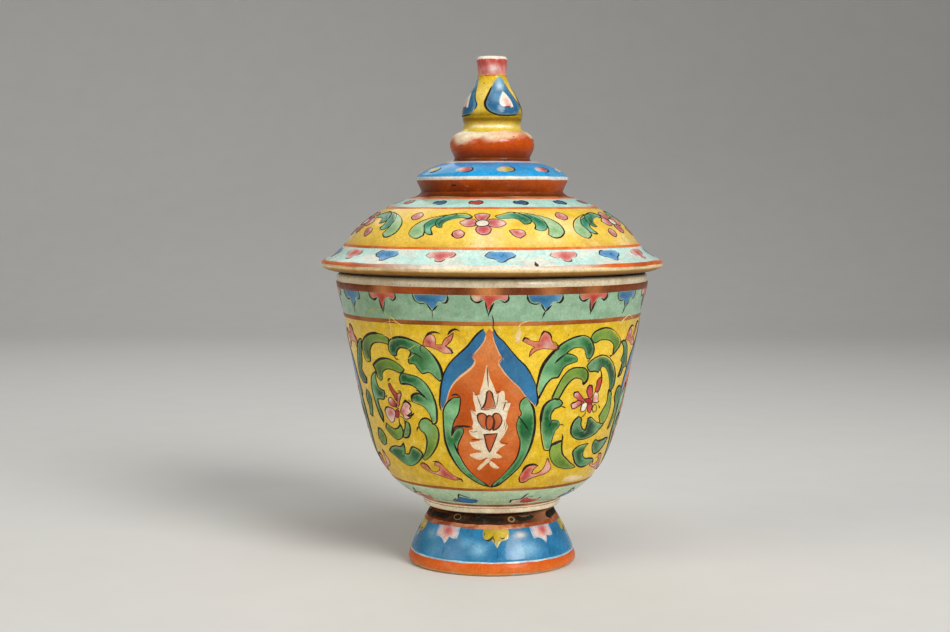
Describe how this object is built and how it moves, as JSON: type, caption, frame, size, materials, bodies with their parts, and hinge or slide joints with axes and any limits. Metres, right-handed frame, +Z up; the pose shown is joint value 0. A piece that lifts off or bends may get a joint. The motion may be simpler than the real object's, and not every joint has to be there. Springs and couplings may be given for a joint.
{
  "type": "covered cup",
  "caption": "Enamelled porcelain cup: a flaring bowl on a hollow splayed foot, with an overhanging domed lid that lifts off by its stepped lotus-bud finial.",
  "frame": {"origin": "centre of the foot's resting face, on the turning axis", "axes": "+Z up along the turning axis, +X to the picture's right, -Y towards the picture's viewer"},
  "size_m": [0.1118, 0.1118, 0.166],
  "materials": {
    "yellow_enamel": "gloss",
    "pale_yellow_enamel": "gloss",
    "blue_enamel": "gloss",
    "iron_red_enamel": "gloss",
    "green_enamel": "gloss",
    "celadon_enamel": "gloss",
    "rose_enamel": "gloss",
    "white_glaze": "gloss",
    "outline_enamel": "gloss"
  },
  "bodies": {
    "cup": {"bowl": "yellow_enamel", "foot": "blue_enamel"},
    "lid": {"lid_dome": "pale_yellow_enamel", "lid_tier": "blue_enamel", "finial_cushion": "iron_red_enamel", "finial_bud": "yellow_enamel"}
  },
  "joints": [
    {"name": "lid_lift", "type": "slide", "parent": "cup", "child": "lid", "axis": [0, 0, 1], "range_m": [0, 0.12]}
  ]
}
